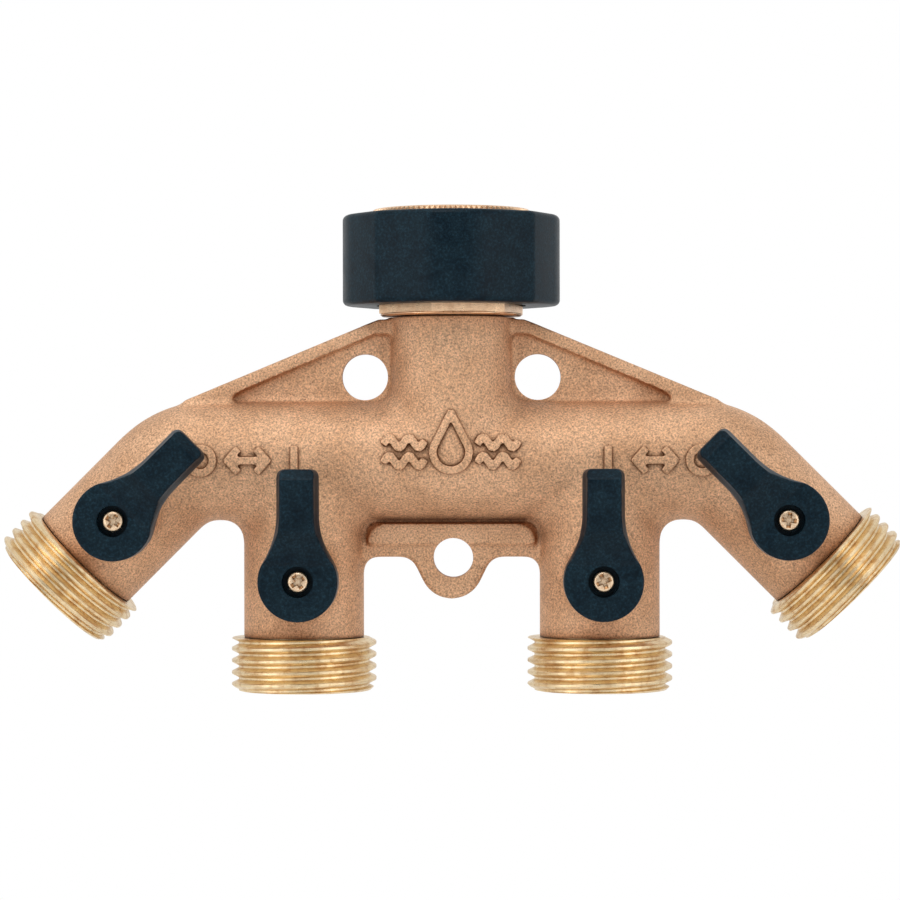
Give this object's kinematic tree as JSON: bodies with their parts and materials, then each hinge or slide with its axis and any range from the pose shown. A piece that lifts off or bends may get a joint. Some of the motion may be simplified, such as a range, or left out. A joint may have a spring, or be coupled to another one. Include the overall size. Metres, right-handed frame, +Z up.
{
  "type": "hose splitter",
  "caption": "Garden hose manifold: a swivel inlet nut with a grip above a cast cross tube, threaded outlets below, each shut off by a quarter-turn ball valve with its own lever.",
  "frame": {"origin": "middle of the hose washer's upper face, on the swivel axis, where the tap's spout lands", "axes": "+Z up along the swivel axis towards the tap, +X to the right seen from the lever side, -Y to the front, where the levers are"},
  "size_m": [0.1672, 0.0456, 0.0895],
  "materials": {
    "cast_bronze": "cast and blasted, matt",
    "machined_brass": "turned, satin",
    "handle_plastic": "moulded, satin, dark teal",
    "rubber": "moulded, matt",
    "ptfe": "turned, waxy",
    "plated_ball": "polished",
    "plated_screw": "bronze plated steel"
  },
  "bodies": {
    "root": {"manifold_body": "cast_bronze", "swivel_retaining_ring": "machined_brass", "hose_washer": "rubber", "outer_left_outlet_tail": "machined_brass", "outer_left_upstream_seat": "ptfe", "outer_left_downstream_seat": "ptfe", "inner_left_outlet_tail": "machined_brass", "inner_left_upstream_seat": "ptfe", "inner_left_downstream_seat": "ptfe", "inner_right_outlet_tail": "machined_brass", "inner_right_upstream_seat": "ptfe", "inner_right_downstream_seat": "ptfe", "outer_right_outlet_tail": "machined_brass", "outer_right_upstream_seat": "ptfe", "outer_right_downstream_seat": "ptfe"},
    "swivel": {"swivel_nut": "machined_brass", "nut_grip": "handle_plastic"},
    "outer_left_valve": {"outer_left_ball": "plated_ball", "outer_left_stem": "machined_brass", "outer_left_stem_o_ring": "rubber", "outer_left_lever": "handle_plastic", "outer_left_lever_screw": "plated_screw"},
    "inner_left_valve": {"inner_left_ball": "plated_ball", "inner_left_stem": "machined_brass", "inner_left_stem_o_ring": "rubber", "inner_left_lever": "handle_plastic", "inner_left_lever_screw": "plated_screw"},
    "inner_right_valve": {"inner_right_ball": "plated_ball", "inner_right_stem": "machined_brass", "inner_right_stem_o_ring": "rubber", "inner_right_lever": "handle_plastic", "inner_right_lever_screw": "plated_screw"},
    "outer_right_valve": {"outer_right_ball": "plated_ball", "outer_right_stem": "machined_brass", "outer_right_stem_o_ring": "rubber", "outer_right_lever": "handle_plastic", "outer_right_lever_screw": "plated_screw"}
  },
  "joints": [
    {"name": "nut_swivel", "type": "hinge", "parent": "root", "child": "swivel", "pos_m": [0, 0, 0], "axis": [0, 0, 1], "continuous": true},
    {"name": "outer_left_shutoff", "type": "hinge", "parent": "root", "child": "outer_left_valve", "pos_m": [-0.06098, 0, -0.04557], "axis": [0, -1, 0], "range_deg": [0, 90]},
    {"name": "inner_left_shutoff", "type": "hinge", "parent": "root", "child": "inner_left_valve", "pos_m": [-0.0276, 0, -0.0566], "axis": [0, -1, 0], "range_deg": [0, 90]},
    {"name": "inner_right_shutoff", "type": "hinge", "parent": "root", "child": "inner_right_valve", "pos_m": [0.0276, 0, -0.0566], "axis": [0, 1, 0], "range_deg": [0, 90]},
    {"name": "outer_right_shutoff", "type": "hinge", "parent": "root", "child": "outer_right_valve", "pos_m": [0.06098, 0, -0.04557], "axis": [0, 1, 0], "range_deg": [0, 90]}
  ]
}
